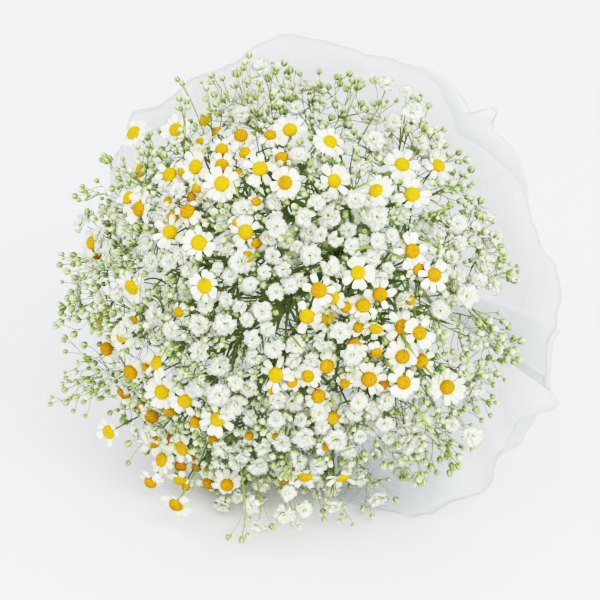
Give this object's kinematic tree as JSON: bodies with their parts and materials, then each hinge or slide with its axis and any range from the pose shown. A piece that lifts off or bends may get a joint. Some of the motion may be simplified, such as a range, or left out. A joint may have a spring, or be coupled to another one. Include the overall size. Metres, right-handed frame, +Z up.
{
  "type": "bouquet",
  "caption": "Tied bouquet of small white daisies and gypsophila in one sheet of pale tissue wrap, lying on its side.",
  "frame": {"origin": "middle of the footprint, on the table the bouquet lies on", "axes": "+Y along the bunch towards the cut stems, the flowers face -Y, +X to the flowers' right seen from their front, +Z up"},
  "size_m": [0.2944, 0.4074, 0.2622],
  "materials": {
    "daisy_plant": "matt fresh plant",
    "gypsophila_plant": "matt fresh plant",
    "stalk_green": "matt fresh stalk",
    "leaf_green": "matt fresh leaf",
    "petal_white": "soft matt petal",
    "disc_yellow": "pebbled matt",
    "floret_white": "thin soft petals",
    "bud_green": "striped matt bud",
    "wrap_tissue": "thin cloudy tissue",
    "ribbon_satin": "satin weave",
    "twine": "twisted natural fibre"
  },
  "bodies": {
    "root": {"daisy_spray_01": "daisy_plant", "daisy_spray_02": "daisy_plant", "daisy_spray_03": "daisy_plant", "daisy_spray_04": "daisy_plant", "daisy_spray_05": "daisy_plant", "daisy_spray_06": "daisy_plant", "daisy_spray_07": "daisy_plant", "daisy_spray_08": "daisy_plant", "daisy_spray_09": "daisy_plant", "daisy_spray_10": "daisy_plant", "daisy_spray_11": "daisy_plant", "daisy_spray_12": "daisy_plant", "daisy_spray_13": "daisy_plant", "daisy_spray_14": "daisy_plant", "daisy_spray_15": "daisy_plant", "daisy_spray_16": "daisy_plant", "daisy_spray_17": "daisy_plant", "daisy_spray_18": "daisy_plant", "gypsophila_spray_01": "gypsophila_plant", "gypsophila_spray_02": "gypsophila_plant", "gypsophila_spray_03": "gypsophila_plant", "gypsophila_spray_04": "gypsophila_plant", "gypsophila_spray_05": "gypsophila_plant", "gypsophila_spray_06": "gypsophila_plant", "gypsophila_spray_07": "gypsophila_plant", "gypsophila_spray_08": "gypsophila_plant", "gypsophila_spray_09": "gypsophila_plant", "gypsophila_spray_10": "gypsophila_plant", "gypsophila_spray_11": "gypsophila_plant", "gypsophila_spray_12": "gypsophila_plant", "gypsophila_spray_13": "gypsophila_plant", "gypsophila_spray_14": "gypsophila_plant", "gypsophila_spray_15": "gypsophila_plant", "gypsophila_spray_16": "gypsophila_plant", "gypsophila_spray_17": "gypsophila_plant", "gypsophila_spray_18": "gypsophila_plant", "gypsophila_spray_19": "gypsophila_plant", "ribbon_knot": "ribbon_satin", "stem_binding": "twine", "wrap_ribbon": "ribbon_satin", "wrap_sheet": "wrap_tissue"}
  },
  "joints": []
}
